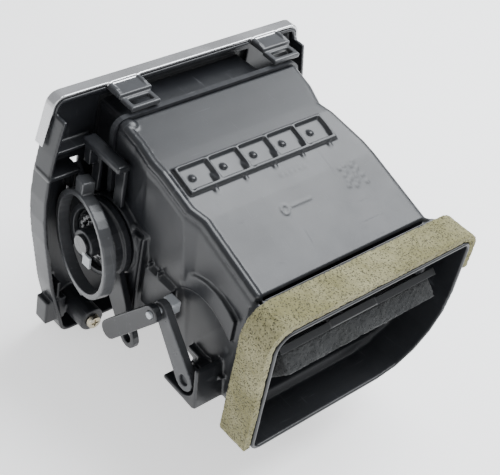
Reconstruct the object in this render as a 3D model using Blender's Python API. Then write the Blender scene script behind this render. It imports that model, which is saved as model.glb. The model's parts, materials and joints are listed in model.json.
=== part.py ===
"""Car dashboard air outlet: face plate with a silver trim, tiltable vanes, a thumbwheel that works a
shut-off damper through a link rod and a lever, and a tapered duct with a foam-gasketed inlet.

Lengths are in millimetres and are scaled to metres when a mesh is made. The layout frame has
x towards the thumbwheel side, y from the front (0 at the trim's top edge) to the rear inlet, and
z up from the top edge, so every height on the outlet is negative. At the end everything is moved
so that the origin is under the middle of the whole outlet.
"""

import math

import bmesh
import bpy
from mathutils import Matrix, Vector

MM = 0.001
GAP = 0.3  # clearance between two pieces that touch

# Whole outlet
FRONT_Y = -10.0
INLET_Y = 156.0
BOTTOM_Z = -160.0

# Face plate: the corners of half its outline, as half width, height and corner radius
FACE_CORNERS = ((79.7, -1.5, 5), (91.7, -57, 150), (80.7, -122, 120), (70.5, -160, 6))
FACE_MIDDLE_X = -2.2  # the plate's middle, off the vane box's middle
FACE_FRONT, FACE_INNER, FACE_REAR = -3.0, -0.5, 11.0
FACE_TOP_REAR, FACE_STEP_Z = 3.0, -9.0  # the top rim is cut back to this depth above this height
FACE_WALL = 2.2
SHELF_X, SHELF_Z = (66.0, 86.0), (-43.0, -41.0)
FOOT_X, FOOT_Z = (66.0, 79.0), (-150.0, -134.0)
RIB_INNER, RIB_OUTER, RIB_Z = 54.0, 80.0, (-31.0, -29.0)

# Silver trim: how far it runs along y, and how far out it stands from the plate's edge
TRIM_FRONT, TRIM_REAR, TRIM_PROUD = -4.5, 2.5, 2.0
TRIM_TAILS = ((-88.9, -24), (-84.7, -9), (-80, -7), (76, -7), (80.3, -10), (84.5, -27))
CLIP_CENTRES = (38.0, -58.0)
CLIP_HALF, CLIP_HOOK_HALF, CLIP_WINDOW_HALF = 10.0, 9.0, 6.5
OPENING_HALF, OPENING_TOP, OPENING_BOTTOM = 46.0, -13.0, -109.0

# Vane box and duct
BOX_HALF, BOX_TOP, BOX_BOTTOM, BOX_WALL = 47.3, -12.6, -110.0, 2.0
BOX_END = 42.0
DUCT_START = 24.0
DUCT_WALL = 2.0
# Sections of the duct: y, top left x, bottom left x, right x, top z, bottom z, top and bottom right radius
DUCT_STATIONS = (
    (DUCT_START, 57, 50, -66, -8, -114, 6, 8),
    (40, 58, 50, -63, -9.7, -114, 6, 8),
    (54, 60.5, 50, -57.5, -11.1, -113, 6, 9),
    (62, 60.5, 50, -59.5, -12, -113, 6, 9),
    (84, 60.5, 50, -64, -18.3, -113.6, 6, 11),
    (92, 57, 50, -64.8, -21, -114, 6, 12),
    (131, 53, 51, -71, -40, -120, 6, 26),
    (133, 58, 57, -80, -43, -124, 10, 44),
    (INLET_Y, 58, 57, -80, -43, -124, 10, 44),
)
COLLAR_STEP = (131, 133)  # stations between which the tube steps out to the collar
CORNER_RADIUS = 6.0
BULGE_X, BULGE_Y, BULGE_RADIUS, BULGE_TOP, BULGE_BOTTOM = 47.5, 50.0, 11.0, -60.0, -116.0
PAD_OUTLINE = ((50, -70), (57.5, -74), (57.5, -98), (50, -98))
PAD_FRONT, PAD_REAR = 60.0, 82.0

# Pockets on the roof
LADDER_FRONT, LADDER_REAR = 62.5, 78.5
LADDER_LEFT, LADDER_RIGHT = 52.0, -46.0
LADDER_RIB, LADDER_PROUD, LADDER_POCKETS = 1.6, 2.4, 5
FIN_REACH = 7.0

# Inlet gasket
GASKET_THICK = 5.0
GASKET_FRONT, GASKET_REAR = 136.0, 155.5
GASKET_LEFT_END, GASKET_RIGHT_END = -121.0, -64.0

# Thumbwheel, its crank slot and the link to the damper
WHEEL_Y, WHEEL_Z = 31.0, -73.0
WHEEL_RIM, WHEEL_SECTOR_INNER, WHEEL_DISC = 41.0, 19.0, 21.5
WHEEL_X0, WHEEL_X1 = 60.5, 64.5
WHEEL_DRUM, WHEEL_RECESS, WHEEL_DRUM_X1 = 20.0, 17.0, 70.0
HUB_RADIUS = 22.0
SHAFT_RADIUS, SHAFT_X1 = 8.0, 76.0
LINK_Y, LINK_Z = 57.0, -114.0  # link rod's pin in the wheel's slot
LEVER_Y, LEVER_Z = 87.0, -77.0  # link rod's pin on the lever
DAMPER_Y, DAMPER_Z = 112.0, -105.0
SLOT_TRAVEL = 8.5
PIN_RADIUS = 2.0
LEVER_X0, LEVER_X1 = 64.0, 68.5
ROD_X0, ROD_X1 = 70.5, 74.5
CUP_X0, CUP_X1, CUP_RADIUS, CUP_WALL = 71.0, 78.0, 29.5, 3.0
CUP_TURN = math.radians(-10)
BRACKET_X = (57.6, 59.9)
BRACKET_TOP = -22.0
SHROUD_X = (49.0, 69.0)

# Damper flap
FLAP_ANGLE = math.radians(48)
FLAP_REACH, FLAP_TAIL, FLAP_THICK = 56.0, 6.0, 2.5
FLAP_LEFT, FLAP_RIGHT = 46.0, -59.5
FLAP_FLARE = 6.0  # how much further out the right edge is at the tip than at the axle
FOAM_START, FOAM_END, FOAM_THICK = 14.0, 52.0, 11.0
FOAM_LEFT, FOAM_RIGHT = 44.0, -57.5
AXLE_RADIUS = 3.0
BUSH_RADIUS = 6.0

# Vanes
TILT_Y, TILT_CHORD, TILT_COUNT, TILT_PITCH = 8.0, 14.0, 5, 17.6
PAN_Y, PAN_CHORD, PAN_COUNT, PAN_PITCH = 31.0, 18.0, 7, 12.5
VANE_MIDDLE_Z = -61.0
VANE_THICK = 2.0
PIVOT_RADIUS = 1.2
TILT_LINK_X, TILT_LINK_BACK = -40.0, 6.0
PAN_LINK_Z, PAN_LINK_BACK = -102.6, 7.0
FORK_REACH = 9.5

# Screws
SCREW_X, SCREW_Y, SCREW_Z = 58.0, 25.0, -144.0
SCREW_HEAD, SCREW_SHANK, SCREW_BOSS = 4.4, 1.8, 7.5


# ---------------------------------------------------------------- scene and helpers
def clear_scene():
    for obj in list(bpy.data.objects):
        bpy.data.objects.remove(obj)


def new_collection(name):
    collection = bpy.data.collections.new(name)
    bpy.context.scene.collection.children.link(collection)
    return collection


def make_material(name, colour, roughness, metallic=0.0):
    material = bpy.data.materials.new(name)
    material.use_nodes = True
    shader = material.node_tree.nodes["Principled BSDF"]
    shader.inputs["Base Color"].default_value = (*colour, 1.0)
    shader.inputs["Roughness"].default_value = roughness
    shader.inputs["Metallic"].default_value = metallic
    material.diffuse_color = (*colour, 1.0)
    return material


def solid_from(bm):
    """A workshop object from a bmesh in millimetres."""
    bm.normal_update()
    bmesh.ops.recalc_face_normals(bm, faces=bm.faces)
    mesh = bpy.data.meshes.new("shape")
    bm.to_mesh(mesh)
    bm.free()
    obj = bpy.data.objects.new("shape", mesh)
    WORKSHOP.objects.link(obj)
    return obj


def box(x0, x1, y0, y1, z0, z1, round_by=0.0):
    bm = bmesh.new()
    bmesh.ops.create_cube(bm, size=1.0)
    bmesh.ops.scale(bm, vec=(abs(x1 - x0), abs(y1 - y0), abs(z1 - z0)), verts=bm.verts)
    bmesh.ops.translate(bm, vec=((x0 + x1) / 2, (y0 + y1) / 2, (z0 + z1) / 2), verts=bm.verts)
    if round_by:
        bmesh.ops.bevel(bm, geom=bm.edges, offset=round_by, segments=1, affect="EDGES")
    return solid_from(bm)


def cylinder(axis, radius, start, end, a, b, sides=16, end_radius=None):
    """A round bar along one axis; a and b are its place on the two other axes, in x, y, z order."""
    bm = bmesh.new()
    tip = radius if end_radius is None else end_radius
    bmesh.ops.create_cone(
        bm, cap_ends=True, segments=sides, radius1=radius, radius2=tip, depth=abs(end - start)
    )
    turns = {
        "x": Matrix.Rotation(math.pi / 2, 4, "Y"),
        "y": Matrix.Rotation(-math.pi / 2, 4, "X"),
        "z": Matrix.Identity(4),
    }
    bmesh.ops.transform(bm, matrix=turns[axis], verts=bm.verts)
    middle = (start + end) / 2
    places = {"x": (middle, a, b), "y": (a, middle, b), "z": (a, b, middle)}
    bmesh.ops.translate(bm, vec=places[axis], verts=bm.verts)
    return solid_from(bm)


def prism(outline, start, end, axis="y"):
    """A flat outline given thickness: (x, z) points along y, or (y, z) points along x."""
    curve = bpy.data.curves.new("outline", "CURVE")
    curve.dimensions = "2D"
    curve.fill_mode = "BOTH"
    curve.extrude = abs(end - start) / 2
    spline = curve.splines.new("POLY")
    spline.points.add(len(outline) - 1)
    for point, (u, v) in zip(spline.points, outline):
        point.co = (u, v, 0, 1)
    spline.use_cyclic_u = True
    holder = bpy.data.objects.new("outline", curve)
    WORKSHOP.objects.link(holder)
    mesh = bpy.data.meshes.new_from_object(holder.evaluated_get(bpy.context.evaluated_depsgraph_get()))
    bpy.data.objects.remove(holder)
    bm = bmesh.new()
    bm.from_mesh(mesh)
    bpy.data.meshes.remove(mesh)
    bmesh.ops.remove_doubles(bm, verts=bm.verts, dist=1e-4)
    middle = (start + end) / 2
    for vert in bm.verts:
        u, v, w = vert.co
        vert.co = (u, middle + w, v) if axis == "y" else (middle + w, u, v)
    return solid_from(bm)


def combined(base, add=(), cut=()):
    """The base joined with some solids, less others; all of them are used up."""
    for operation, others in (("UNION", add), ("DIFFERENCE", cut)):
        for other in others:
            modifier = base.modifiers.new(operation.lower(), "BOOLEAN")
            modifier.operation = operation
            modifier.object = other
            modifier.solver = "EXACT"
            mesh = bpy.data.meshes.new_from_object(
                base.evaluated_get(bpy.context.evaluated_depsgraph_get())
            )
            base.modifiers.clear()
            base.data = mesh
            bpy.data.objects.remove(other)
    return base


def finish(shape, name, material, pivot=(0, 0, 0)):
    """Names a workshop shape as a part, in metres, with its origin on its joint's axis."""
    mesh = shape.data
    mesh.transform(Matrix.Translation(-Vector(pivot)))
    mesh.transform(Matrix.Scale(MM, 4))
    mesh.shade_smooth()
    mesh.set_sharp_from_angle(angle=math.radians(35))
    mesh.materials.clear()
    mesh.materials.append(material)
    shape.name = mesh.name = name
    WORKSHOP.objects.unlink(shape)
    PARTS.objects.link(shape)
    shape.location = Vector(pivot) * MM
    return shape


# ---------------------------------------------------------------- outlines
def rounded(corners, radii, steps=4):
    """A polygon whose corners are arcs."""
    points = []
    count = len(corners)
    for i, (corner, radius) in enumerate(zip(corners, radii)):
        here = Vector(corner)
        before = (Vector(corners[i - 1]) - here).normalized()
        after = (Vector(corners[(i + 1) % count]) - here).normalized()
        half = before.angle(after) / 2
        reach = radius / math.tan(half)
        centre = here + (before + after).normalized() * (radius / math.sin(half))
        first = here + before * reach - centre
        last = here + after * reach - centre
        sweep = first.angle_signed(last)
        for step in range(steps + 1):
            turn = Matrix.Rotation(-sweep * step / steps, 2)
            points.append(tuple(centre + turn @ first))
    return points


def rounded_rectangle(x0, x1, z0, z1, radius, steps=3):
    return rounded(((x0, z0), (x1, z0), (x1, z1), (x0, z1)), (radius,) * 4, steps)


def arc(centre, radius, start, end, steps):
    """Points on an arc, angles in degrees from the first axis to the second."""
    angles = [math.radians(start + (end - start) * i / steps) for i in range(steps + 1)]
    return [(centre[0] + radius * math.cos(a), centre[1] + radius * math.sin(a)) for a in angles]


def bar_outline(a, b, radius_a, radius_b, steps=6):
    """The outline of a flat bar with a round end about each of two points."""
    angle = math.degrees(math.atan2(b[1] - a[1], b[0] - a[0]))
    start = arc(a, radius_a, angle + 90, angle + 270, steps)
    end = arc(b, radius_b, angle - 90, angle + 90, steps)
    return start + end


def grown(outline, amount):
    """An outline moved outwards along its own normals, or inwards for a negative amount."""
    count = len(outline)
    area = sum(
        outline[i][0] * outline[(i + 1) % count][1] - outline[(i + 1) % count][0] * outline[i][1]
        for i in range(count)
    )
    side = 1 if area > 0 else -1
    moved = []
    for i, point in enumerate(outline):
        here = Vector(point)
        before = (here - Vector(outline[i - 1])).normalized()
        after = (Vector(outline[(i + 1) % count]) - here).normalized()
        along = (before + after).normalized()
        normal = Vector((along.y, -along.x)) * side
        square = Vector((after.y, -after.x)) * side
        moved.append(tuple(here + normal * amount / max(0.5, normal.dot(square))))
    return moved


def face_outline(steps=4):
    half = [((FACE_MIDDLE_X + x, z), radius) for x, z, radius in FACE_CORNERS]
    other = [((FACE_MIDDLE_X - x, z), radius) for x, z, radius in reversed(FACE_CORNERS)]
    corners, radii = zip(*(half + other))
    return rounded(corners, radii, steps)


def duct_outline(station, inset=0.0):
    """The duct's section at one station, drawn in by the wall for the inner face."""
    _, left_top, left_bottom, right, top, bottom, small, big = station
    corners = (
        (left_top - inset, top - inset),
        (left_bottom - inset, bottom + inset),
        (right + inset, bottom + inset),
        (right + inset, top - inset),
    )
    radii = [max(1.0, radius - inset) for radius in (small, CORNER_RADIUS, big, CORNER_RADIUS)]
    return rounded(corners, radii, 5)


# ---------------------------------------------------------------- fixed pieces
def face_plate():
    """Shallow tray: front wall with the vane opening and the thumbwheel's slot, and a rim behind it."""
    outline = face_outline()
    plate = prism(outline, FACE_FRONT, FACE_REAR)
    opening = OPENING_HALF + 4
    cuts = [
        prism(grown(outline, -FACE_WALL), FACE_INNER, FACE_REAR + 5),
        box(-opening, opening, FACE_FRONT - 5, FACE_REAR, OPENING_BOTTOM - 4, OPENING_TOP + 4),
        box(WHEEL_X0 - 1, WHEEL_X1 + 1, FACE_FRONT - 5, FACE_REAR, WHEEL_Z - 30, WHEEL_Z + 30),
        box(-120, 120, FACE_TOP_REAR, FACE_REAR + 5, FACE_STEP_Z, 5),
    ]
    for centre in CLIP_CENTRES:
        notch = CLIP_HALF + 0.5
        cuts.append(box(centre - notch, centre + notch, 1, FACE_REAR + 1, -6, 2))
    ribs = [
        box(*SHELF_X, FACE_INNER - 0.5, FACE_REAR + 1, *SHELF_Z),
        box(*FOOT_X, FACE_INNER - 0.5, FACE_REAR - 2, *FOOT_Z),
    ]
    holes = []
    for side in (1, -1):
        x = side * SCREW_X
        ribs.append(cylinder("y", SCREW_BOSS, FACE_INNER - 1, SCREW_Y - 1, x, SCREW_Z, 20))
        ribs.append(box(x - 10, x + 10, FACE_INNER - 1, FACE_REAR - 2, SCREW_Z - 1, SCREW_Z + 1))
        ribs.append(box(side * RIB_INNER, side * RIB_OUTER, FACE_INNER - 1, 8, *RIB_Z))
        holes.append(cylinder("y", 2.4, 4, SCREW_Y + 2, x, SCREW_Z, 12))
    return finish(combined(combined(plate, cut=cuts), ribs, holes), "face_plate", BLACK)


def silver_trim():
    """Painted band over the top front edge with a pointed tail at each end, and two snap clips."""
    outline = face_outline()
    band = prism(grown(outline, TRIM_PROUD), TRIM_FRONT, TRIM_REAR)
    below = ((-100, TRIM_TAILS[0][1]),) + TRIM_TAILS + ((100, TRIM_TAILS[-1][1]), (100, -200), (-100, -200))
    cuts = (prism(grown(outline, GAP), FACE_FRONT - GAP, 12), prism(below, FACE_FRONT - 5, 12))
    band = combined(band, cut=cuts)
    loops, windows = [], []
    for centre in CLIP_CENTRES:
        loops.append(box(centre - CLIP_HALF, centre + CLIP_HALF, TRIM_REAR - 1, 13, -3.4, -0.6))
        loops.append(box(centre - CLIP_HOOK_HALF, centre + CLIP_HOOK_HALF, 12, 22.5, -5.4, -2.6))
        windows.append(box(centre - CLIP_WINDOW_HALF, centre + CLIP_WINDOW_HALF, 15, 20, -9, 2))
    return finish(combined(band, loops, windows), "silver_trim", SILVER)


def grille_frame():
    """Thin frame round the vane opening, in front of the face plate."""
    outer, inner = OPENING_HALF + 6, OPENING_HALF - 1
    outside = rounded_rectangle(-outer, outer, OPENING_BOTTOM - 6, OPENING_TOP + 6, 8)
    inside = rounded_rectangle(-inner, inner, OPENING_BOTTOM + 1, OPENING_TOP - 1, 5)
    ring = prism(outside, FACE_FRONT - 3.5, FACE_FRONT - GAP)
    return finish(combined(ring, cut=(prism(inside, -9, 0),)), "grille_frame", DARK)


def tilt_height(i):
    return VANE_MIDDLE_Z + (i - (TILT_COUNT - 1) / 2) * TILT_PITCH


def pan_place(i):
    return (i - (PAN_COUNT - 1) / 2) * PAN_PITCH


def vane_box():
    """Rectangular sleeve that holds both sets of vanes, with a flange over the duct's front edge."""
    outside = rounded_rectangle(-BOX_HALF, BOX_HALF, BOX_BOTTOM, BOX_TOP, 3)
    inner = BOX_HALF - BOX_WALL
    inside = rounded_rectangle(-inner, inner, BOX_BOTTOM + BOX_WALL, BOX_TOP - BOX_WALL, 1.5)
    sleeve = prism(outside, FACE_FRONT + GAP, BOX_END)
    flange = prism(grown(duct_outline(DUCT_STATIONS[0]), 1.5), DUCT_START - 3.5, DUCT_START - GAP)
    cuts = [prism(inside, -20, 80)]
    cuts.append(cylinder("x", HUB_RADIUS + GAP, BOX_HALF + 1, WHEEL_X0, WHEEL_Y, WHEEL_Z, 20))
    for i in range(PAN_COUNT):
        cuts.append(cylinder("z", PIVOT_RADIUS + GAP, BOX_BOTTOM - 3, BOX_TOP + 3, pan_place(i), PAN_Y, 10))
    return finish(combined(sleeve, (flange,), cuts), "vane_box", BLACK)


def inner_depth(station):
    """The step out to the collar is as thick as the walls, so its inner face lies further back."""
    return station[0] + (DUCT_WALL if station[0] in COLLAR_STEP else 0)


def duct_shell():
    """Tapered tube lofted between the duct's sections, open at both ends."""
    bm = bmesh.new()
    outer, inner = [], []
    for s in DUCT_STATIONS:
        outer.append([bm.verts.new((x, s[0], z)) for x, z in duct_outline(s)])
        inner.append([bm.verts.new((x, inner_depth(s), z)) for x, z in duct_outline(s, DUCT_WALL)])
    for rings in (outer, inner):
        for front, rear in zip(rings, rings[1:]):
            join_rings(bm, front, rear)
    join_rings(bm, outer[0], inner[0])
    join_rings(bm, outer[-1], inner[-1])
    return solid_from(bm)


def join_rings(bm, one, other):
    count = len(one)
    for i in range(count):
        k = (i + 1) % count
        bm.faces.new((one[i], one[k], other[k], other[i]))


def shroud():
    """Open bracket on the duct's side round the lever's boss."""
    outer = ((98, -113), (98, -115.5), (122, -116.5), (124, -115), (121, -91), (118.5, -91))
    inner_corner = arc((DAMPER_Y, DAMPER_Z), 8.2, 0, -90, 4)
    return prism(outer + tuple(inner_corner), *SHROUD_X, axis="x")


def roof_height(y):
    """The height of the duct's outer roof at one depth."""
    for front, rear in zip(DUCT_STATIONS, DUCT_STATIONS[1:]):
        if y <= rear[0]:
            share = (y - front[0]) / (rear[0] - front[0])
            return front[4] + (rear[4] - front[4]) * share


def roof_strip(y0, y1, x0, x1, proud, root):
    """A solid across the sloping roof, between two heights over its surface."""
    z0, z1 = roof_height(y0), roof_height(y1)
    outline = ((y0, z0 + root), (y1, z1 + root), (y1, z1 + proud), (y0, z0 + proud))
    return prism(outline, x0, x1, axis="x")


def ladder():
    """Raised frame of five pockets across the roof, and a small fin behind each."""
    frame = roof_strip(LADDER_FRONT, LADDER_REAR, LADDER_RIGHT, LADDER_LEFT, LADDER_PROUD, -1)
    pitch = (LADDER_LEFT - LADDER_RIGHT - LADDER_RIB) / LADDER_POCKETS
    pockets, fins = [], []
    for i in range(LADDER_POCKETS):
        x0 = LADDER_RIGHT + LADDER_RIB + i * pitch
        x1 = x0 + pitch - LADDER_RIB
        pockets.append(roof_strip(LADDER_FRONT + LADDER_RIB, LADDER_REAR - LADDER_RIB, x0, x1, 9, 0.3))
        top = roof_height(LADDER_REAR) + LADDER_PROUD - 0.4
        foot = roof_height(LADDER_REAR + FIN_REACH) - 1
        fin = ((LADDER_REAR - 1, top), (LADDER_REAR + FIN_REACH, foot), (LADDER_REAR - 1, foot))
        fins.append(prism(fin, x0 + 4, x0 + 4 + LADDER_RIB, axis="x"))
    return [combined(frame, cut=pockets)] + fins


def rear_duct():
    """Tapered duct with the wheel's hub, the lever's shroud and the axle's bushes on its sides."""
    parts = [
        shroud(),
        cylinder("x", HUB_RADIUS, 50, WHEEL_X0 - 1, WHEEL_Y, WHEEL_Z, 32),
        cylinder("z", BULGE_RADIUS, BULGE_BOTTOM, BULGE_TOP, BULGE_X, BULGE_Y, 24),
        prism(PAD_OUTLINE, PAD_FRONT, PAD_REAR),
        cylinder("x", BUSH_RADIUS, 49, 60, DAMPER_Y, DAMPER_Z, 16),
        cylinder("x", BUSH_RADIUS, -75, -61, DAMPER_Y, DAMPER_Z, 16),
    ]
    holes = [
        cylinder("x", AXLE_RADIUS + GAP, -90, 90, DAMPER_Y, DAMPER_Z, 14),
        cylinder("x", 3.4, 47, 90, WHEEL_Y, WHEEL_Z, 14),
        box(-BOX_HALF, BOX_HALF, 30, 125, -110, -60),
    ]
    return finish(combined(duct_shell(), parts + ladder(), holes), "rear_duct", BLACK)


def inlet_gasket():
    """Foam strip wrapped round three sides of the inlet collar."""
    collar = duct_outline(DUCT_STATIONS[-1])
    strip = prism(grown(collar, GASKET_THICK + GAP), GASKET_FRONT, GASKET_REAR)
    away = (
        prism(grown(collar, GAP), GASKET_FRONT - 5, GASKET_REAR + 5),
        box(-120, 40, 100, 200, -200, GASKET_RIGHT_END),
        box(30, 120, 100, 200, -200, GASKET_LEFT_END),
    )
    return finish(combined(strip, cut=away), "inlet_gasket", FOAM)


def wheel_cup():
    """Fixed grey ring beside the thumbwheel, with its clip blocks at top and bottom."""
    ring = cylinder("x", CUP_RADIUS, CUP_X0, CUP_X1, WHEEL_Y, WHEEL_Z, 40)
    blocks = (
        box(CUP_X0 - 1, CUP_X0 + 6, WHEEL_Y - 12, WHEEL_Y - 4, WHEEL_Z + 26, WHEEL_Z + 36),
        box(CUP_X0, CUP_X0 + 5, WHEEL_Y - 6, WHEEL_Y + 4, WHEEL_Z - 34, WHEEL_Z - 26),
    )
    bore = cylinder("x", CUP_RADIUS - CUP_WALL, CUP_X0 - 5, CUP_X1 + 5, WHEEL_Y, WHEEL_Z, 40)
    cup = combined(ring, blocks, (bore,))
    middle = Matrix.Translation(((CUP_X0 + CUP_X1) / 2, WHEEL_Y, 0))
    cup.data.transform(middle @ Matrix.Rotation(CUP_TURN, 4, "Z") @ middle.inverted())
    return finish(cup, "wheel_cup", GREY)


def wheel_bracket():
    """Inverted U beside the duct, over the wheel's drum."""
    cap = box(BRACKET_X[0] + 0.4, 66, 9, 40, BRACKET_TOP - 4, BRACKET_TOP, 0.8)
    legs = (
        box(*BRACKET_X, 12, 18, -54, BRACKET_TOP - 1),
        box(*BRACKET_X, 31, 38, -50.5, BRACKET_TOP - 1),
        box(60.5, 66, 12, 17, -35, BRACKET_TOP - 2),
    )
    return finish(combined(cap, legs), "wheel_bracket", BLACK)


def screw(name, side):
    x = side * SCREW_X
    seat = SCREW_Y - 1 + GAP
    head = cylinder("y", SCREW_HEAD, seat, SCREW_Y + 2, x, SCREW_Z, 20, end_radius=SCREW_HEAD - 0.6)
    shank = cylinder("y", SCREW_SHANK, 8, SCREW_Y, x, SCREW_Z, 12)
    slots = (
        box(x - 2.4, x + 2.4, SCREW_Y + 0.8, SCREW_Y + 4, SCREW_Z - 0.5, SCREW_Z + 0.5),
        box(x - 0.5, x + 0.5, SCREW_Y + 0.8, SCREW_Y + 4, SCREW_Z - 2.4, SCREW_Z + 2.4),
    )
    return finish(combined(head, (shank,), slots), name, STEEL)


# ---------------------------------------------------------------- thumbwheel, link and damper
def crank_point(radius):
    """A point on the line from the wheel's centre through the rod's pin."""
    way = Vector((LINK_Y - WHEEL_Y, LINK_Z - WHEEL_Z))
    return tuple(Vector((WHEEL_Y, WHEEL_Z)) + way.normalized() * radius)


def thumbwheel():
    """Disc with a finger rim at the front and a slotted crank arm at the bottom rear."""
    crank = math.hypot(LINK_Y - WHEEL_Y, LINK_Z - WHEEL_Z)
    centre = (WHEEL_Y, WHEEL_Z)
    disc = cylinder("x", WHEEL_DISC, WHEEL_X0, WHEEL_X1, WHEEL_Y, WHEEL_Z, 32)
    sector = arc(centre, WHEEL_RIM, 134, 226, 14) + arc(centre, WHEEL_SECTOR_INNER, 226, 134, 6)
    slot_start, slot_end = crank_point(crank), crank_point(crank + SLOT_TRAVEL)
    parts = (
        prism(sector, WHEEL_X0, WHEEL_X1, axis="x"),
        prism(bar_outline(centre, slot_end, 9, 6.5), WHEEL_X0, WHEEL_X1, axis="x"),
        cylinder("x", WHEEL_DRUM, WHEEL_X1 - 1, WHEEL_DRUM_X1, WHEEL_Y, WHEEL_Z, 32),
    )
    shafts = (
        cylinder("x", SHAFT_RADIUS, WHEEL_X0, SHAFT_X1, WHEEL_Y, WHEEL_Z, 20),
        cylinder("x", 3, 49, WHEEL_X0 + 1, WHEEL_Y, WHEEL_Z, 14),
    )
    recess = cylinder("x", WHEEL_RECESS, WHEEL_X1, WHEEL_DRUM_X1 + 5, WHEEL_Y, WHEEL_Z, 32)
    width = PIN_RADIUS + 1.2
    slot = prism(bar_outline(slot_start, slot_end, width, width, 4), WHEEL_X0 - 5, WHEEL_X1 + 5, axis="x")
    wheel = combined(combined(disc, parts, (recess, slot)), shafts)
    return finish(wheel, "thumbwheel", BLACK, (0, WHEEL_Y, WHEEL_Z))


def wheel_clip():
    """White retaining clip on the end of the wheel's hub."""
    start, end = SHAFT_X1 + GAP, SHAFT_X1 + 1.8
    ring = cylinder("x", 5.5, start, end, WHEEL_Y, WHEEL_Z, 16)
    lug = box(start, end, WHEEL_Y + 3, WHEEL_Y + 9, WHEEL_Z - 10, WHEEL_Z - 3)
    return finish(combined(ring, (lug,)), "wheel_clip", WHITE, (0, WHEEL_Y, WHEEL_Z))


def link_rod():
    rod = prism(bar_outline((LINK_Y, LINK_Z), (LEVER_Y, LEVER_Z), 5.5, 5.0), ROD_X0, ROD_X1, axis="x")
    pin = cylinder("x", PIN_RADIUS, WHEEL_X0 - 1.5, ROD_X0 + 1, LINK_Y, LINK_Z, 14)
    hole = cylinder("x", PIN_RADIUS + GAP, ROD_X0 - 2, ROD_X1 + 2, LEVER_Y, LEVER_Z, 14)
    return finish(combined(rod, (pin,), (hole,)), "link_rod", BLACK, (0, LEVER_Y, LEVER_Z))


def link_pin():
    """White peg with a square head that joins the lever and the link rod."""
    peg = cylinder("x", PIN_RADIUS, LEVER_X0 - 4, ROD_X1 + 1.2, LEVER_Y, LEVER_Z, 14)
    head = box(LEVER_X0 - 6, LEVER_X0 - GAP, LEVER_Y - 4, LEVER_Y + 4, LEVER_Z - 3, LEVER_Z + 4, 0.5)
    return finish(combined(peg, (head,)), "link_pin", WHITE, (0, LEVER_Y, LEVER_Z))


def damper_lever():
    """Flat arm from the damper's axle to the link rod, with a web that stiffens its root."""
    a, d = (LEVER_Y, LEVER_Z), (DAMPER_Y, DAMPER_Z)
    arm = prism(bar_outline(d, a, 6.5, 5.0), LEVER_X0, LEVER_X1, axis="x")
    hub = cylinder("x", 5.6, 60.5, LEVER_X0 + 1, DAMPER_Y, DAMPER_Z, 16)
    holes = (
        cylinder("x", PIN_RADIUS + GAP, 50, 80, LEVER_Y, LEVER_Z, 14),
        cylinder("x", AXLE_RADIUS + GAP, 50, 80, DAMPER_Y, DAMPER_Z, 14),
    )
    return finish(combined(arm, (hub,), holes), "damper_lever", BLACK, (0, DAMPER_Y, DAMPER_Z))


def damper_axle():
    axle = cylinder("x", AXLE_RADIUS, -73, LEVER_X1 - 1.5, DAMPER_Y, DAMPER_Z, 16)
    return finish(axle, "damper_axle", BLACK, (0, DAMPER_Y, DAMPER_Z))


def on_flap(along, off):
    """A (y, z) point on the flap: along its length from the axle, and off its underside."""
    c, s = math.cos(FLAP_ANGLE), math.sin(FLAP_ANGLE)
    return (DAMPER_Y + along * c + off * s, DAMPER_Z + along * s - off * c)


def on_flap_solid(outline, x0, x1):
    """A piece lying along the flap, from (along, off) points; its right edge follows the flap's flare."""
    solid = prism([on_flap(*point) for point in outline], x0, x1, axis="x")
    for vert in solid.data.vertices:
        along = (vert.co.y - DAMPER_Y) * math.cos(FLAP_ANGLE) + (vert.co.z - DAMPER_Z) * math.sin(FLAP_ANGLE)
        if vert.co.x < 0:
            vert.co.x -= FLAP_FLARE * along / FLAP_REACH
    return solid


def damper_plate():
    """The flap, with a lip along its free edge and a thicker block at the middle of it."""
    half = FLAP_THICK / 2
    outline = (
        (-FLAP_TAIL, -half),
        (FLAP_REACH - 1.5, -half),
        (FLAP_REACH - 1.5, -half - 1.5),
        (FLAP_REACH, -half - 1.5),
        (FLAP_REACH, half),
        (-FLAP_TAIL, half),
    )
    plate = on_flap_solid(outline, FLAP_RIGHT, FLAP_LEFT)
    start, end, near, far = FLAP_REACH - 7, FLAP_REACH + 0.5, -half - 2, half - 0.4
    block = on_flap_solid(((start, near), (end, near), (end, far), (start, far)), -14, 12)
    sleeve = cylinder("x", AXLE_RADIUS + 2, FLAP_RIGHT + 0.5, FLAP_LEFT - 0.5, DAMPER_Y, DAMPER_Z, 16)
    hole = cylinder("x", AXLE_RADIUS + GAP, -80, 80, DAMPER_Y, DAMPER_Z, 16)
    return finish(combined(plate, (block, sleeve), (hole,)), "damper_plate", DARK, (0, DAMPER_Y, DAMPER_Z))


def damper_foam():
    near = FLAP_THICK / 2 + GAP
    far = near + FOAM_THICK
    outline = ((FOAM_START, near), (FOAM_END, near), (FOAM_END, far), (FOAM_START, far))
    pad = on_flap_solid(outline, FOAM_RIGHT, FOAM_LEFT)
    return finish(pad, "damper_foam", BLACK_FOAM, (0, DAMPER_Y, DAMPER_Z))


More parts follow.
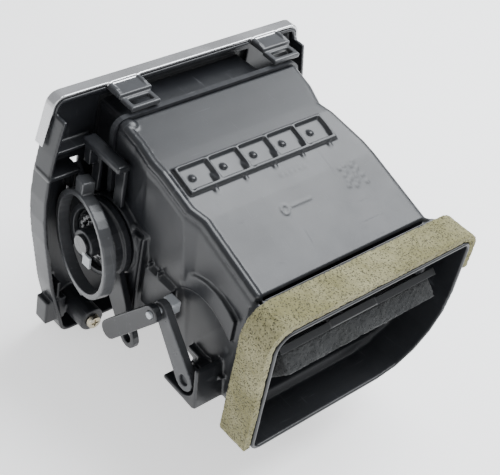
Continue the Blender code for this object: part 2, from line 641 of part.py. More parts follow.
# ---------------------------------------------------------------- vanes and knob
def tilt_vane(i):
    """Horizontal vane: blade, two pivot pins, and a pin across the notch for the link bar."""
    z = tilt_height(i)
    y0, y1 = TILT_Y - TILT_CHORD / 2, TILT_Y + TILT_CHORD / 2
    blade = box(-42, 42, y0, y1, z - VANE_THICK / 2, z + VANE_THICK / 2, 0.6)
    notch = box(TILT_LINK_X - 1.6, TILT_LINK_X + 1.6, TILT_Y + 2.5, y1 + 2, z - 5, z + 5)
    blade = combined(blade, cut=(notch,))
    pins = (
        cylinder("x", PIVOT_RADIUS, -44.9, -41, TILT_Y, z, 10),
        cylinder("x", PIVOT_RADIUS, 41, 44.9, TILT_Y, z, 10),
        cylinder("x", 0.9, TILT_LINK_X - 1.9, TILT_LINK_X + 3, TILT_Y + TILT_LINK_BACK, z, 8),
    )
    return finish(combined(blade, pins), f"vane_horizontal_{i + 1}", DARK, (0, TILT_Y, z))


def tilt_link_bar():
    middle = tilt_height((TILT_COUNT - 1) // 2)
    y = TILT_Y + TILT_LINK_BACK
    low, high = tilt_height(0) - 3, tilt_height(TILT_COUNT - 1) + 3
    bar = box(TILT_LINK_X - 0.8, TILT_LINK_X + 0.8, y - 2, y + 2, low, high)
    holes = [cylinder("x", 1.25, -45, -35, y, tilt_height(i), 8) for i in range(TILT_COUNT)]
    return finish(combined(bar, cut=holes), "horizontal_link_bar", BLACK, (0, y, middle))


def vane_bearing(name, side):
    strip = box(side * 42.5, side * (45.3 - GAP), 3, 13, BOX_BOTTOM + 3, BOX_TOP - 3)
    holes = []
    for i in range(TILT_COUNT):
        holes.append(cylinder("x", PIVOT_RADIUS + GAP, side * 40, side * 47, TILT_Y, tilt_height(i), 10))
    return finish(combined(strip, cut=holes), name, BLACK)


def pan_vane(i):
    """Vertical vane: blade, pivot pins in the box's floor and roof, and a pin for the link bar."""
    x = pan_place(i)
    low, high = PAN_LINK_Z + 2, BOX_TOP - BOX_WALL - 1
    y0, y1 = PAN_Y - PAN_CHORD / 2, PAN_Y + PAN_CHORD / 2
    shape = box(x - 0.9, x + 0.9, y0, y1, low, high, 0.5)
    if i == (PAN_COUNT - 1) // 2:
        z = VANE_MIDDLE_Z
        notch = box(x - 5, x + 5, y0 - 5, y0 + 5.5, z - 13, z + 13)
        peg = cylinder("z", 1.3, z - 16, z + 16, x, PAN_Y - FORK_REACH, 10)
        shape = combined(combined(shape, cut=(notch,)), (peg,))
    pins = (
        cylinder("z", PIVOT_RADIUS, BOX_BOTTOM + 0.4, low + 1, x, PAN_Y, 10),
        cylinder("z", PIVOT_RADIUS, high - 1, BOX_TOP - 0.4, x, PAN_Y, 10),
        cylinder("z", 0.9, PAN_LINK_Z - 1.5, low + 1, x, PAN_Y + PAN_LINK_BACK, 8),
    )
    return finish(combined(shape, pins), f"vane_vertical_{i + 1}", DARK, (x, PAN_Y, 0))


def pan_link_bar():
    y = PAN_Y + PAN_LINK_BACK
    end = pan_place(PAN_COUNT - 1) + 3
    bar = box(-end, end, y - 2, y + 2, PAN_LINK_Z - 0.8, PAN_LINK_Z + 0.8)
    holes = []
    for i in range(PAN_COUNT):
        holes.append(cylinder("z", 1.25, PAN_LINK_Z - 3, PAN_LINK_Z + 3, pan_place(i), y, 8))
    return finish(combined(bar, cut=holes), "vertical_link_bar", BLACK, (0, y, 0))


def control_knob():
    """Finger tab that slides along the middle horizontal vane and forks round the vertical vane's pin."""
    z = VANE_MIDDLE_Z
    y1 = TILT_Y + TILT_CHORD / 2
    body = box(-11, 11, -9.5, y1 + 1, z - 4, z + 4, 1.0)
    prongs = (
        box(-3.8, -1.9, y1, PAN_Y - FORK_REACH + 4.5, z - 3.8, z + 3.8),
        box(1.9, 3.8, y1, PAN_Y - FORK_REACH + 4.5, z - 3.8, z + 3.8),
    )
    slide_slot = box(-20, 20, TILT_Y - TILT_CHORD / 2 - 0.5, y1 + 0.4, z - 1.4, z + 1.4)
    return finish(combined(body, prongs, (slide_slot,)), "control_knob", BLACK, (0, TILT_Y, z))


def build():
    face_plate()
    silver_trim()
    grille_frame()
    vane_box()
    rear_duct()
    inlet_gasket()
    wheel_cup()
    wheel_bracket()
    screw("screw_left", 1)
    screw("screw_right", -1)
    thumbwheel()
    wheel_clip()
    link_rod()
    link_pin()
    damper_lever()
    damper_axle()
    damper_plate()
    damper_foam()
    for i in range(TILT_COUNT):
        tilt_vane(i)
    tilt_link_bar()
    vane_bearing("vane_bearing_left", 1)
    vane_bearing("vane_bearing_right", -1)
    for i in range(PAN_COUNT):
        pan_vane(i)
    pan_link_bar()
    control_knob()
    shift = Vector((-FACE_MIDDLE_X, -(FRONT_Y + INLET_Y) / 2, -BOTTOM_Z)) * MM
    for obj in PARTS.objects:
        obj.location += shift


clear_scene()
PARTS = new_collection("dashboard_air_outlet")
WORKSHOP = new_collection("workshop")
BLACK = make_material("black_plastic", (0.035, 0.038, 0.042), 0.42)
DARK = make_material("vane_plastic", (0.025, 0.027, 0.03), 0.5)
GREY = make_material("grey_plastic", (0.16, 0.17, 0.18), 0.45)
SILVER = make_material("silver_paint", (0.6, 0.6, 0.61), 0.35, 0.8)
WHITE = make_material("white_plastic", (0.6, 0.62, 0.63), 0.45)
STEEL = make_material("screw_steel", (0.5, 0.47, 0.4), 0.35, 1.0)
FOAM = make_material("gasket_foam", (0.42, 0.38, 0.22), 0.95)
BLACK_FOAM = make_material("damper_foam_black", (0.03, 0.03, 0.032), 0.98)
build()
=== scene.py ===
"""Looks of the car dashboard air outlet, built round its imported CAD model.

Shapes are made in the layout frame that part.py uses: millimetres, x towards the thumbwheel's side,
y from the trim's top edge (0) rearwards to the inlet, z up from that edge. SHIFT moves them into
the row frame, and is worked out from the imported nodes.
"""

import json
import math

import bmesh
import bpy
from mathutils import Matrix, Vector, noise


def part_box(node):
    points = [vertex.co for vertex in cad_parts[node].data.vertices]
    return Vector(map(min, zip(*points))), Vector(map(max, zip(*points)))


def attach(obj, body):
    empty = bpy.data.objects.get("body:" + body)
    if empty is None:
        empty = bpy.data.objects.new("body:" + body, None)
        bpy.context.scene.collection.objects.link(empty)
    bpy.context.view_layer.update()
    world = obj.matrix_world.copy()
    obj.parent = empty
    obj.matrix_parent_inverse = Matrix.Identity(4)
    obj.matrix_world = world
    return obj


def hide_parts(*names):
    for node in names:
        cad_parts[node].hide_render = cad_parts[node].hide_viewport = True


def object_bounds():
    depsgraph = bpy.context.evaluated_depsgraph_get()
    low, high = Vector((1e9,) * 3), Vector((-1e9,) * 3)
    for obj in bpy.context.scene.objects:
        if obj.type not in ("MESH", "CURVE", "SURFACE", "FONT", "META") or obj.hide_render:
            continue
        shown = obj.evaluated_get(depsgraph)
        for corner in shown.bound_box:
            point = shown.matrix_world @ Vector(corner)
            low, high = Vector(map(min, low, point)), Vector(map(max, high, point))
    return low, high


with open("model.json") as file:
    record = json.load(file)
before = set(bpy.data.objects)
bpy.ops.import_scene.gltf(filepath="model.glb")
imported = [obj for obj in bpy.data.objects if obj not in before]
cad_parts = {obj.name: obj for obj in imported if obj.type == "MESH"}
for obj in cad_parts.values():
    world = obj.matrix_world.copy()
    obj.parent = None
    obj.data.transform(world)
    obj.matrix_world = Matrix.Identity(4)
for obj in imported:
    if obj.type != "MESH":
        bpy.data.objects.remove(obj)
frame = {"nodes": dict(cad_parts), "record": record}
cad_low, cad_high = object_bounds()

MM = 0.001
FACE_MIDDLE_X, INLET_Y, BOTTOM_Z = -2.2, 156.0, -160.0
FACE_LOW, FACE_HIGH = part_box("face_plate")
SHIFT = Vector(
    (
        (FACE_LOW.x + FACE_HIGH.x) / 2 - FACE_MIDDLE_X * MM,
        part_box("rear_duct")[1].y - INLET_Y * MM,
        FACE_LOW.z - BOTTOM_Z * MM,
    )
)

# Camera: where the photographer stood, in layout millimetres, and how the outlet leans in the frame
CAMERA_AT = (367, 394, 340)
AZIMUTH, ELEVATION, LEAN = 131.0, 40.0, 12.7
LENS, SENSOR = 86.4, 36.0

# Duct roof: depth, height, x of its left edge
ROOF = (
    (24, -8, 57),
    (40, -9.7, 58),
    (54, -11.1, 60.5),
    (62, -12, 60.5),
    (84, -18.3, 60.5),
    (92, -21, 57),
    (131, -40, 53),
)
LADDER_REAR, LADDER_MIDDLE_Y, LADDER_POCKETS = 78.5, 70.5, 5
LADDER_LEFT, LADDER_RIGHT = 52.0, -46.0

# Wheel and damper axes, as (y, z)
WHEEL = (31.0, -73.0)
DAMPER = (112.0, -105.0)
FLAP_ANGLE = math.radians(48)
FLAP_REACH = 56.0
WHEEL_X = (60.5, 64.5)
RIM_RADIUS = 41.0
RIM_SPAN = (134.0, 226.0)
RIM_TEETH = 30


DUCT_KEEP = 0.4  # share of the duct's triangles kept after its skin is made
FLOOR_GLOW = 0.9
COARSER = 1.0  # how much larger the skins' voxels are while trying things out
SOFTENED = {"grille_frame", "vane_box"}
SOFTENED |= {f"vane_horizontal_{i + 1}" for i in range(5)}
SOFTENED |= {f"vane_vertical_{i + 1}" for i in range(7)}


# ---------------------------------------------------------------- materials
class Nodes:
    """A few shorthands for building one material's node tree."""

    def __init__(self, name):
        self.material = bpy.data.materials.new(name)
        self.material.use_nodes = True
        self.tree = self.material.node_tree
        self.shader = self.tree.nodes["Principled BSDF"]
        self.place = self.add("ShaderNodeTexCoord").outputs["Object"]

    def add(self, kind, **settings):
        node = self.tree.nodes.new(kind)
        for key, value in settings.items():
            if key in node.inputs:
                node.inputs[key].default_value = value
            else:
                setattr(node, key, value)
        return node

    def link(self, output, target):
        self.tree.links.new(output, target)

    def noise(self, scale, detail=3.0, rough=0.5, place=None):
        node = self.add("ShaderNodeTexNoise", Scale=scale, Detail=detail, Roughness=rough)
        self.link(place or self.place, node.inputs["Vector"])
        return node.outputs["Fac"]

    def cells(self, scale, feature="F1", place=None):
        node = self.add("ShaderNodeTexVoronoi", feature=feature, Scale=scale)
        self.link(place or self.place, node.inputs["Vector"])
        return node.outputs["Distance"]

    def stretched(self, scale):
        node = self.add("ShaderNodeMapping")
        node.inputs["Scale"].default_value = scale
        self.link(self.place, node.inputs["Vector"])
        return node.outputs["Vector"]

    def ramp(self, value, low, high, out_low=0.0, out_high=1.0):
        node = self.add("ShaderNodeMapRange")
        node.interpolation_type = "SMOOTHSTEP"
        for index, number in enumerate((low, high, out_low, out_high), start=1):
            node.inputs[index].default_value = number
        self.link(value, node.inputs["Value"])
        return node.outputs["Result"]

    def math(self, operation, a, b):
        node = self.add("ShaderNodeMath", operation=operation)
        for socket, value in zip(node.inputs, (a, b)):
            self.put(value, socket)
        return node.outputs["Value"]

    def mix(self, share, a, b, blend="MIX"):
        node = self.add("ShaderNodeMix", data_type="RGBA", blend_type=blend)
        self.put(share, node.inputs["Factor"])
        colours = [s for s in node.inputs if s.type == "RGBA"]
        self.put(a, colours[0])
        self.put(b, colours[1])
        return next(s for s in node.outputs if s.type == "RGBA")

    def put(self, value, socket):
        if isinstance(value, (int, float)):
            socket.default_value = value
        elif isinstance(value, tuple):
            socket.default_value = (*value, 1.0)
        else:
            self.link(value, socket)

    def bump(self, height, strength, distance, normal=None):
        node = self.add("ShaderNodeBump", Strength=strength, Distance=distance)
        self.link(height, node.inputs["Height"])
        if normal is not None:
            self.link(normal, node.inputs["Normal"])
        return node.outputs["Normal"]

    def edges(self, low=0.52, high=0.6):
        """1 on sharp outer edges, 0 elsewhere."""
        return self.ramp(self.add("ShaderNodeNewGeometry").outputs["Pointiness"], low, high)

    def finish(self, colour, roughness, normal=None, **sockets):
        self.put(colour, self.shader.inputs["Base Color"])
        self.put(roughness, self.shader.inputs["Roughness"])
        if normal is not None:
            self.link(normal, self.shader.inputs["Normal"])
        for name, value in sockets.items():
            self.put(value, self.shader.inputs[name.replace("_", " ")])
        return self.material


def plastic(name, colour, roughness, grain=0.12, scuff=0.07, edge=0.35):
    """Moulded plastic: fine grain, uneven gloss, faint scratches, paler rubbed edges and a little dust."""
    n = Nodes(name)
    cloud = n.noise(38, 4.0, 0.6)
    dark = tuple(c * 0.88 for c in colour)
    light = tuple(c * 1.12 for c in colour)
    base = n.mix(n.ramp(cloud, 0.35, 0.65), dark, light)
    rubbed = n.math("MULTIPLY", n.edges(), n.ramp(n.noise(210, 3.0), 0.42, 0.62, 0.15, edge))
    base = n.mix(rubbed, base, tuple(min(1.0, c * 2.5 + 0.03) for c in colour))
    lines = n.noise(1.0, 2.0, 0.5, n.stretched((900, 36, 70)))
    more_lines = n.noise(1.0, 2.0, 0.5, n.stretched((44, 800, 60)))
    scratch = n.math("MAXIMUM", n.ramp(lines, 0.68, 0.74), n.ramp(more_lines, 0.69, 0.75))
    base = n.mix(n.math("MULTIPLY", scratch, scuff), base, (0.30, 0.31, 0.33))
    dust = n.ramp(n.noise(1500, 2.0), 0.68, 0.76, 0.0, 0.10)
    base = n.mix(dust, base, (0.34, 0.34, 0.33))
    smear = n.ramp(n.noise(23, 5.0, 0.65), 0.3, 0.7, roughness - 0.04, roughness + 0.05)
    rough = n.math("ADD", smear, n.math("MULTIPLY", scratch, 0.12))
    wave = n.bump(n.noise(45, 1.0), 0.08, 0.0006)
    normal = n.bump(n.noise(3400, 2.0), grain, 0.00006, wave)
    return n.finish(base, rough, normal)


def silver_paint():
    """Satin metallic paint, with fine flakes, rubbed edges and small dark nicks."""
    n = Nodes("silver_paint")
    flake = n.ramp(n.noise(5200, 1.0), 0.35, 0.65)
    base = n.mix(flake, (0.47, 0.47, 0.48), (0.60, 0.60, 0.61))
    nick = n.math("MULTIPLY", n.ramp(n.cells(420), 0.10, 0.05), n.ramp(n.noise(70, 3.0), 0.55, 0.62))
    base = n.mix(n.math("MULTIPLY", nick, 0.8), base, (0.07, 0.07, 0.075))
    rubbed = n.math("MULTIPLY", n.edges(0.56, 0.66), n.ramp(n.noise(160, 3.0), 0.5, 0.62, 0.0, 0.6))
    base = n.mix(rubbed, base, (0.20, 0.20, 0.21))
    rough = n.ramp(n.noise(45, 4.0), 0.3, 0.7, 0.22, 0.32)
    normal = n.bump(n.noise(4200, 1.0), 0.06, 0.00004, n.bump(n.noise(90, 2.0), 0.06, 0.0004))
    return n.finish(base, rough, normal, Metallic=0.9, Coat_Weight=0.3, Coat_Roughness=0.15)


def foam(name, colour, pore_shade, light, cell, roughness=0.95):
    """Open-cell foam: pale struts with painted shade in the pores between them, and the worn and stained
    patches of an old strip.
    """
    n = Nodes(name)
    # Painted shade: these pore masks darken the foam where shade falls inside its cells.
    pore = n.ramp(n.cells(cell), 0.46, 0.14)
    fine = n.ramp(n.cells(cell * 2.1), 0.40, 0.10, 0.0, 0.6)
    worn = n.ramp(n.noise(45, 4.0, 0.6), 0.35, 0.70)
    base = n.mix(worn, colour, light)
    stain = tuple(c * s for c, s in zip(colour, (0.86, 0.84, 0.55)))
    base = n.mix(n.ramp(n.noise(20, 3.0), 0.5, 0.72, 0.0, 0.7), base, stain)
    dark = n.math("MAXIMUM", pore, fine)
    # The pores take the dark pore colour, which is painted shade.
    base = n.mix(n.math("MULTIPLY", dark, 0.88), base, pore_shade)
    normal = n.bump(n.math("SUBTRACT", 1.0, dark), 0.8, 0.0004)
    return n.finish(base, roughness, normal, Sheen_Weight=0.12)


def screw_steel():
    """Yellow zinc over steel, turned, with dull patches."""
    n = Nodes("screw_steel")
    patch = n.ramp(n.noise(420, 4.0, 0.6), 0.35, 0.65)
    base = n.mix(patch, (0.56, 0.50, 0.36), (0.42, 0.40, 0.34))
    base = n.mix(n.ramp(n.noise(1600, 3.0), 0.62, 0.7, 0.0, 0.7), base, (0.12, 0.10, 0.08))
    rough = n.ramp(n.noise(700, 3.0), 0.3, 0.7, 0.2, 0.42)
    return n.finish(base, rough, n.bump(n.noise(2600, 2.0), 0.2, 0.00005), Metallic=1.0)


def grease():
    """Clear dark damping grease."""
    n = Nodes("damping_grease")
    base = n.mix(n.ramp(n.noise(300, 3.0), 0.4, 0.6), (0.008, 0.009, 0.010), (0.02, 0.02, 0.022))
    rough = n.ramp(n.noise(160, 2.0), 0.35, 0.65, 0.06, 0.16)
    return n.finish(base, rough, n.bump(n.noise(380, 3.0), 0.4, 0.0007), Coat_Weight=0.6, Coat_Roughness=0.05)


BLACK = plastic("black_plastic", (0.012, 0.013, 0.0155), 0.33)
VANE = plastic("vane_plastic", (0.013, 0.014, 0.015), 0.40, grain=0.2)
GREY = plastic("grey_plastic", (0.050, 0.052, 0.056), 0.30, edge=0.3)
WHITE = plastic("white_plastic", (0.42, 0.44, 0.46), 0.40, edge=0.2)
SILVER = silver_paint()
STEEL = screw_steel()
# Each foam's third colour is the painted shade in its pores.
KHAKI_FOAM = foam("gasket_foam", (0.20, 0.185, 0.082), (0.018, 0.016, 0.005), (0.30, 0.28, 0.155), 900)
BLACK_FOAM = foam(
    "damper_foam_black", (0.03, 0.032, 0.033), (0.004, 0.004, 0.005), (0.06, 0.062, 0.062), 1000
)
GREASE = grease()

LOOK_OF_SLOT = {
    "black_plastic": BLACK,
    "vane_plastic": VANE,
    "grey_plastic": GREY,
    "white_plastic": WHITE,
    "silver_paint": SILVER,
    "screw_steel": STEEL,
    "gasket_foam": KHAKI_FOAM,
    "damper_foam_black": BLACK_FOAM,
}


# ---------------------------------------------------------------- shapes
def linked(mesh, name="shape"):
    obj = bpy.data.objects.new(name, mesh)
    bpy.context.scene.collection.objects.link(obj)
    return obj


def from_bmesh(bm):
    bmesh.ops.recalc_face_normals(bm, faces=bm.faces)
    mesh = bpy.data.meshes.new("shape")
    bm.to_mesh(mesh)
    bm.free()
    return linked(mesh)


def box(x0, x1, y0, y1, z0, z1):
    bm = bmesh.new()
    bmesh.ops.create_cube(bm, size=1.0)
    bmesh.ops.scale(bm, vec=(x1 - x0, y1 - y0, z1 - z0), verts=bm.verts)
    bmesh.ops.translate(bm, vec=((x0 + x1) / 2, (y0 + y1) / 2, (z0 + z1) / 2), verts=bm.verts)
    return from_bmesh(bm)


def rod(start, end, radius, sides=20):
    """A round bar between two points."""
    a, b = Vector(start), Vector(end)
    length = (b - a).length
    bm = bmesh.new()
    bmesh.ops.create_cone(bm, cap_ends=True, segments=sides, radius1=radius, radius2=radius, depth=length)
    turn = (b - a).to_track_quat("Z", "Y").to_matrix().to_4x4()
    bmesh.ops.transform(bm, matrix=Matrix.Translation((a + b) / 2) @ turn, verts=bm.verts)
    return from_bmesh(bm)


def ball(centre, radius, flat=(1, 1, 1)):
    bm = bmesh.new()
    bmesh.ops.create_uvsphere(bm, u_segments=20, v_segments=12, radius=radius)
    bmesh.ops.scale(bm, vec=flat, verts=bm.verts)
    bmesh.ops.translate(bm, vec=centre, verts=bm.verts)
    return from_bmesh(bm)


def bead(points, radius):
    """A chain of round bars and balls along some points."""
    parts = [ball(point, radius) for point in points]
    parts += [rod(a, b, radius) for a, b in zip(points, points[1:])]
    return parts


def wedge(outline, start, end):
    """A (y, z) outline given thickness along x."""
    bm = bmesh.new()
    near = [bm.verts.new((start, y, z)) for y, z in outline]
    far = [bm.verts.new((end, y, z)) for y, z in outline]
    bm.faces.new(near)
    bm.faces.new(far)
    for i in range(len(outline)):
        k = (i + 1) % len(outline)
        bm.faces.new((near[i], near[k], far[k], far[i]))
    return from_bmesh(bm)


def cad_shape(node):
    """A copy of a CAD node's mesh, in layout millimetres."""
    source = frame["nodes"][node]
    mesh = source.data.copy()
    mesh.materials.clear()
    mesh.transform(source.matrix_world)
    mesh.transform(Matrix.Translation(-SHIFT))
    mesh.transform(Matrix.Scale(1 / MM, 4))
    mesh.update()
    return linked(mesh)


def baked(obj):
    """Applies an object's modifiers."""
    mesh = bpy.data.meshes.new_from_object(obj.evaluated_get(bpy.context.evaluated_depsgraph_get()))
    obj.modifiers.clear()
    obj.data = mesh
    return obj


def joined(base, others):
    """One object that holds several overlapping closed solids, ready to be remeshed as one."""
    bm = bmesh.new()
    bm.from_mesh(base.data)
    for other in others:
        bm.from_mesh(other.data)
        bpy.data.objects.remove(other)
    bm.to_mesh(base.data)
    bm.free()
    return base


def moulded(obj, voxel, passes=3, keep=1.0):
    """One skin over all the solids, with its edges softened as a moulding's are."""
    remesh = obj.modifiers.new("skin", "REMESH")
    remesh.mode = "VOXEL"
    remesh.voxel_size = voxel * COARSER
    smooth = obj.modifiers.new("soften", "SMOOTH")
    smooth.iterations = passes
    smooth.factor = 0.5
    if keep < 1:
        obj.modifiers.new("thin", "DECIMATE").ratio = keep
    baked(obj)
    obj.data.shade_smooth()
    return obj


def piece(obj, name, nodes, body, material):
    """Puts a finished shape in the row frame, in place of its CAD nodes."""
    obj.data.transform(Matrix.Scale(MM, 4))
    obj.data.transform(Matrix.Translation(SHIFT))
    obj.name = obj.data.name = name
    obj.data.materials.clear()
    obj.data.materials.append(material)
    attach(obj, body)
    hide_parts(*nodes)
    return obj


# ---------------------------------------------------------------- fixed pieces
def roof_point(y, x=None, proud=0.0):
    """A point on the duct's roof, or on its left edge when x isn't given."""
    for (y0, z0, x0), (y1, z1, x1) in zip(ROOF, ROOF[1:]):
        if y <= y1:
            share = (y - y0) / (y1 - y0)
            edge = x0 + (x1 - x0) * share
            return (edge if x is None else x, y, z0 + (z1 - z0) * share + proud)


def roof_patch(x0, x1, y0, y1, proud):
    """A thin plate on the roof, parallel to it."""
    z0, z1 = roof_point(y0, 0)[2], roof_point(y1, 0)[2]
    return wedge(((y0, z0 - 1), (y1, z1 - 1), (y1, z1 + proud), (y0, z0 + proud)), x0, x1)


def edge_ridge():
    """The thick rounded ridge along the roof's left edge, with a boss at its front corner."""
    points = []
    for y in (26, 33, 40, 47, 54, 62, 70, 78, 84, 92, 101, 112, 122, 130):
        x, _, z = roof_point(y)
        points.append((x - 3.4, y, z - 1.0))
    return bead(points, 2.6) + [ball((51.5, 27, -9.6), 4.6, (1.0, 1.0, 0.8))]


def ladder_details():
    """A dot in each pocket, and the gusset in each pocket's rear corner."""
    pitch = (LADDER_LEFT - LADDER_RIGHT) / LADDER_POCKETS
    base = roof_point(LADDER_REAR - 1, 0)[2]
    gusset = ((LADDER_REAR - 7, base + 2.6), (LADDER_REAR - 1, base - 1), (LADDER_REAR - 1, base + 2.2))
    parts = []
    for i in range(LADDER_POCKETS):
        x = LADDER_RIGHT + (i + 0.5) * pitch
        low, high = roof_point(LADDER_MIDDLE_Y, x + 3), roof_point(LADDER_MIDDLE_Y, x + 3, 1.6)
        parts.append(rod(low, high, 1.5))
        parts.append(wedge(gusset, x - 9.0, x - 7.4))
    return parts


def roof_marks():
    """Shallow generic moulding marks: a ring, a thin line and a roughened patch, with no lettering."""
    ring = []
    for i in range(17):
        angle = 2 * math.pi * i / 16
        ring.append(roof_point(101 + 2.3 * math.sin(angle), 9 + 2.3 * math.cos(angle), 0))
    marks = bead(ring, 0.45)
    marks.append(roof_patch(-9, 5, 100.7, 101.3, 0.35))
    for i in range(6):
        marks.append(roof_patch(-2 - 3.1 * i, -0.2 - 3.1 * i, 84.5, 86.5, 0.3))
    for row in range(4):
        for column in range(4):
            skew = 0.9 * math.sin(5.1 * row + 2.7 * column)
            x, y = -36 - 3.6 * column + skew, 93 + 3.2 * row - skew
            marks.append(roof_patch(x, x + 1.9, y, y + 1.4, 0.3))
    return marks


def duct_side():
    """Ribs, gussets and the curved tab on the duct's wall beside the link."""
    parts = []
    tab = []
    for i in range(9):
        y = 85 + 5 * i
        drop = 0.019 * (y - 105) ** 2
        tab.append((y, -52 - drop))
    lower = [(y, z - 9 - 0.12 * (y - 85)) for y, z in tab]
    parts.append(wedge(tab + lower[::-1], 50, 55.5))
    for y in (61, 69):
        parts.append(wedge(((y, -70), (y + 1.6, -70), (y + 1.6, -98), (y, -98)), 52, 57.4))
    parts.append(wedge(((98, -100), (124, -100), (124, -102), (98, -102)), 49, 55))
    parts.append(box(50, 57, 42, 58, -58, -56.2))
    parts.append(box(50, 58.6, 55.5, 57.2, -112, -58))
    return parts


def collar_lip():
    """A rounded bead round the collar, in front of the foam."""
    corners = ((56.4, -116), (56.4, -54), (48.5, -44.4), (-72, -44.4), (-79, -50))
    return bead([(x, 134.5, z) for x, z in corners], 1.6)


def make_rear_duct():
    details = edge_ridge() + ladder_details() + roof_marks() + duct_side() + collar_lip()
    shape = joined(cad_shape("rear_duct"), details)
    moulded(shape, 0.7, 3, DUCT_KEEP)
    piece(shape, "rear_duct_moulding", ["rear_duct"], "housing", BLACK)


def make_face_plate():
    """The front tray, with small ribs and round ejector marks on its inner side."""
    parts = [
        box(70, 72, -1, 8, -134, -122),
        box(66, 68, -1, 6, -58, -44),
        box(82, 86.5, -1, 4, -62, -60.4),
    ]
    for x, z in ((77, -34), (81, -62), (80, -88), (75, -112)):
        parts.append(rod((x, -1, z), (x, 0.7, z), 2.0))
    shape = joined(cad_shape("face_plate"), parts)
    moulded(shape, 0.65, 2, 0.5)
    piece(shape, "face_plate_moulding", ["face_plate"], "housing", BLACK)


def make_trim():
    """The painted band with its bare grey clips behind it."""
    parts = []
    for centre in (38.0, -58.0):
        for side in (-1, 1):
            x = centre + side * 8.6
            parts.append(wedge(((2.2, -0.8), (13, -3.3), (13, -0.8), (8, 0.2), (2.2, 0.3)), x - 0.9, x + 0.9))
    shape = joined(cad_shape("silver_trim"), parts)
    moulded(shape, 0.42, 3, 0.7)
    piece(shape, "trim_and_clips", ["silver_trim"], "housing", SILVER)
    shape.data.materials.append(GREY)
    band_rear = SHIFT.y + 3.2 * MM
    for face in shape.data.polygons:
        face.material_index = 1 if face.center.y > band_rear else 0


def make_cup():
    """The grey ring, its CAD shape given a softened skin."""
    shape = moulded(cad_shape("wheel_cup"), 0.42, 4, 0.8)
    piece(shape, "wheel_cup_moulding", ["wheel_cup"], "housing", GREY)


def simple_moulding(node, name, body, material, voxel=0.42, passes=3, keep=0.8, extra=()):
    """A CAD node with details added, and its edges softened."""
    shape = joined(cad_shape(node), list(extra))
    moulded(shape, voxel, passes, keep)
    return piece(shape, name, [node], body, material)


def make_thumbwheel():
    """Wheel with a finely notched finger rim, and dark grease round its hub."""
    y, z = WHEEL
    teeth = []
    for i in range(RIM_TEETH + 1):
        angle = math.radians(RIM_SPAN[0] + 1.5 + (RIM_SPAN[1] - RIM_SPAN[0] - 3) * i / RIM_TEETH)
        out = Vector((math.cos(angle), math.sin(angle))) * (RIM_RADIUS - 0.5)
        teeth.append(rod((WHEEL_X[0], y + out.x, z + out.y), (WHEEL_X[1], y + out.x, z + out.y), 0.5, 8))
    spokes = []
    for i in range(5):
        angle = math.radians(20 + 72 * i)
        mid = (y + 12 * math.cos(angle), z + 12 * math.sin(angle))
        spokes.append(rod((64, *mid), (68.5, *mid), 2.4, 16))
    shape = moulded(joined(cad_shape("thumbwheel"), teeth + spokes), 0.42, 2, 0.6)
    piece(shape, "thumbwheel_moulding", ["thumbwheel"], "wheel", BLACK)
    make_grease()


def make_grease():
    """Blobs of damping grease in the wheel's hub."""
    y, z = WHEEL
    blobs = []
    for i in range(26):
        angle = 2.4 * i
        reach = 7 + 8.5 * ((i * 0.618) % 1)
        size = 1.6 + 1.8 * ((i * 0.37) % 1)
        centre = (67.5 + 1.5 * ((i * 0.77) % 1), y + reach * math.cos(angle), z + reach * math.sin(angle))
        blobs.append(ball(centre, size, (0.8, 1.2, 1.0)))
    first = blobs.pop()
    shape = joined(first, blobs)
    core = rod((64.2, y, z), (67.2, y, z), 16.5, 32)
    joined(shape, [core])
    moulded(shape, 0.45, 4, 0.7)
    shape.data.transform(Matrix.Scale(MM, 4))
    shape.data.transform(Matrix.Translation(SHIFT))
    shape.name = "hub_grease"
    shape.data.materials.append(GREASE)
    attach(shape, "wheel")


def make_wheel_clip():
    """The retaining clip: only its square lug is clean, and grease covers the rest."""
    shape = simple_moulding("wheel_clip", "wheel_clip_moulding", "wheel", WHITE, 0.2)
    shape.data.materials.append(GREASE)
    lug_front, lug_top = SHIFT.y + (WHEEL[0] + 2.5) * MM, SHIFT.z + (WHEEL[1] - 2.5) * MM
    for face in shape.data.polygons:
        clean = face.center.y > lug_front and face.center.z < lug_top
        face.material_index = 0 if clean else 1


def lever_web():
    """The triangular web behind the lever's arm."""
    y, z = DAMPER
    outline = ((y - 7.5, z + 9), (y - 13, z + 14.5), (y - 10.5, z + 4.5))
    return [wedge(outline, 62.4, 66)]


def flap_point(along, off):
    c, s = math.cos(FLAP_ANGLE), math.sin(FLAP_ANGLE)
    return (DAMPER[0] + along * c + off * s, DAMPER[1] + along * s - off * c)


def flap_details():
    """The raised bar along the flap's free edge, and the round boss at its middle."""
    top = -3.2
    bar = [flap_point(FLAP_REACH - 9, top), flap_point(FLAP_REACH - 6.5, top)]
    bar += [flap_point(FLAP_REACH - 6.5, 0), flap_point(FLAP_REACH - 9, 0)]
    boss_foot, boss_top = flap_point(FLAP_REACH - 3.5, 0), flap_point(FLAP_REACH - 3.5, -4.2)
    return [wedge(bar, -58, 43), rod((-1, *boss_foot), (-1, *boss_top), 1.6)]


def foam_piece(node, name, body, material, voxel, depth, grain):
    """An open-cell pad: the solid's skin broken up by real pores, with its edges a little crushed."""
    shape = cad_shape(node)
    moulded(shape, voxel, 3)
    mesh = shape.data
    for vert in mesh.vertices:
        pore = noise.voronoi(vert.co * grain)[0][0]
        swell = noise.noise(vert.co * 0.09)
        vert.co -= vert.normal * (depth * (max(0.0, 0.55 - pore) * 1.6 + 0.25 - 0.35 * swell))
    piece(shape, name, [node], body, material)


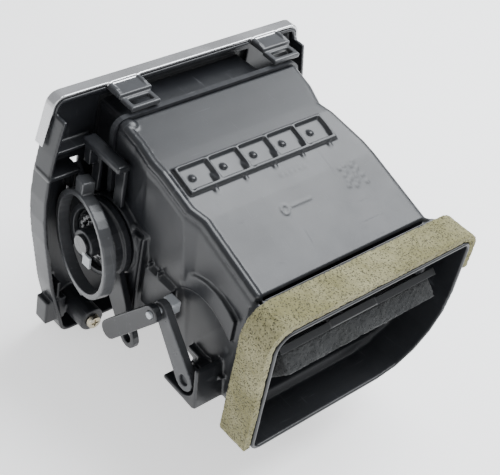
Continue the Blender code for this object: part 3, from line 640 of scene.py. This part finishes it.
def dress_cad_nodes():
    """Gives each carried-over CAD node the look of its material slot, and softer edges."""
    for part in frame["record"]["subparts"]:
        node = frame["nodes"][part["node"]]
        node.data.materials.clear()
        node.data.materials.append(LOOK_OF_SLOT[part["material_slot"]])
        node.data.shade_smooth()
        node.data.set_sharp_from_angle(angle=math.radians(35))
        if part["node"] in SOFTENED:
            bevel = node.modifiers.new("soft_edges", "BEVEL")
            bevel.width = 0.35 * MM
            bevel.segments = 2
            bevel.limit_method = "ANGLE"
            bevel.angle_limit = math.radians(40)


def make_pieces():
    make_rear_duct()
    make_face_plate()
    make_trim()
    make_cup()
    make_thumbwheel()
    simple_moulding("wheel_bracket", "wheel_bracket_moulding", "housing", BLACK)
    make_wheel_clip()
    simple_moulding("link_rod", "link_rod_moulding", "rod", BLACK, 0.35)
    simple_moulding("link_pin", "link_pin_moulding", "damper", WHITE, 0.25)
    web, flap = lever_web(), flap_details()
    simple_moulding("damper_lever", "damper_lever_moulding", "damper", GREY, 0.35, extra=web)
    simple_moulding("damper_plate", "damper_plate_moulding", "damper", VANE, 0.42, extra=flap)
    simple_moulding("screw_left", "screw_left_turned", "housing", STEEL, 0.16, 2)
    simple_moulding("screw_right", "screw_right_turned", "housing", STEEL, 0.16, 2)
    simple_moulding("control_knob", "control_knob_moulding", "knob", BLACK, 0.35)
    foam_piece("inlet_gasket", "inlet_gasket_foam", "housing", KHAKI_FOAM, 0.75, 0.9, 0.6)
    foam_piece("damper_foam", "damper_foam_pad", "damper", BLACK_FOAM, 0.85, 0.9, 0.5)


# ---------------------------------------------------------------- camera, light and floor
def make_camera():
    a, e, lean = map(math.radians, (AZIMUTH, ELEVATION, LEAN))
    back = Vector((math.sin(a) * math.cos(e), -math.cos(a) * math.cos(e), math.sin(e)))
    right = Vector((0, 0, 1)).cross(back).normalized()
    up = back.cross(right)
    across = math.cos(lean) * right + math.sin(lean) * up
    upward = -math.sin(lean) * right + math.cos(lean) * up
    camera = bpy.data.objects.new("camera", bpy.data.cameras.new("camera"))
    bpy.context.scene.collection.objects.link(camera)
    turn = Matrix((across, upward, back)).transposed().to_4x4()
    camera.matrix_world = Matrix.Translation(Vector(CAMERA_AT) * MM + SHIFT) @ turn
    camera.data.sensor_width = SENSOR
    camera.data.lens = LENS
    camera.data.clip_start = 0.01
    bpy.context.scene.camera = camera


def area_light(name, position, target, size, power, colour=(1, 1, 1)):
    light = bpy.data.lights.new(name, "AREA")
    light.shape = "RECTANGLE"
    light.size, light.size_y = size
    light.energy = power
    light.color = colour
    obj = bpy.data.objects.new(name, light)
    bpy.context.scene.collection.objects.link(obj)
    obj.location = position
    obj.rotation_euler = (Vector(target) - Vector(position)).to_track_quat("-Z", "Y").to_euler()


def make_lights():
    middle = (0, 0, 0.08)
    area_light("overhead", (-0.60, 0.0, 0.95), middle, (0.9, 0.9), 26, (0.94, 0.97, 1.0))
    area_light("rear_fill", (0.35, 1.1, 0.55), middle, (0.9, 0.4), 4.0)
    area_light("side_strip", (1.0, -0.25, 0.45), middle, (0.12, 0.8), 1.0)
    world = bpy.data.worlds.new("studio")
    world.use_nodes = True
    backdrop = world.node_tree.nodes["Background"]
    backdrop.inputs["Color"].default_value = (0.95, 0.97, 1.0, 1.0)
    backdrop.inputs["Strength"].default_value = 0.55
    bpy.context.scene.world = world


def make_floor():
    n = Nodes("pale_floor")
    tone = n.mix(n.ramp(n.noise(3, 2.0), 0.3, 0.7), (0.93, 0.93, 0.93), (0.95, 0.95, 0.95))
    n.finish(tone, 0.9, Emission_Color=(1.0, 1.0, 1.0), Emission_Strength=FLOOR_GLOW)
    bm = bmesh.new()
    bmesh.ops.create_grid(bm, x_segments=2, y_segments=2, size=6.0)
    mesh = bpy.data.meshes.new("floor")
    bm.to_mesh(mesh)
    bm.free()
    floor = bpy.data.objects.new("floor", mesh)
    floor.location.z = cad_low.z
    mesh.materials.append(n.material)
    bpy.context.scene.collection.objects.link(floor)


dress_cad_nodes()
make_pieces()
make_camera()
make_lights()
make_floor()
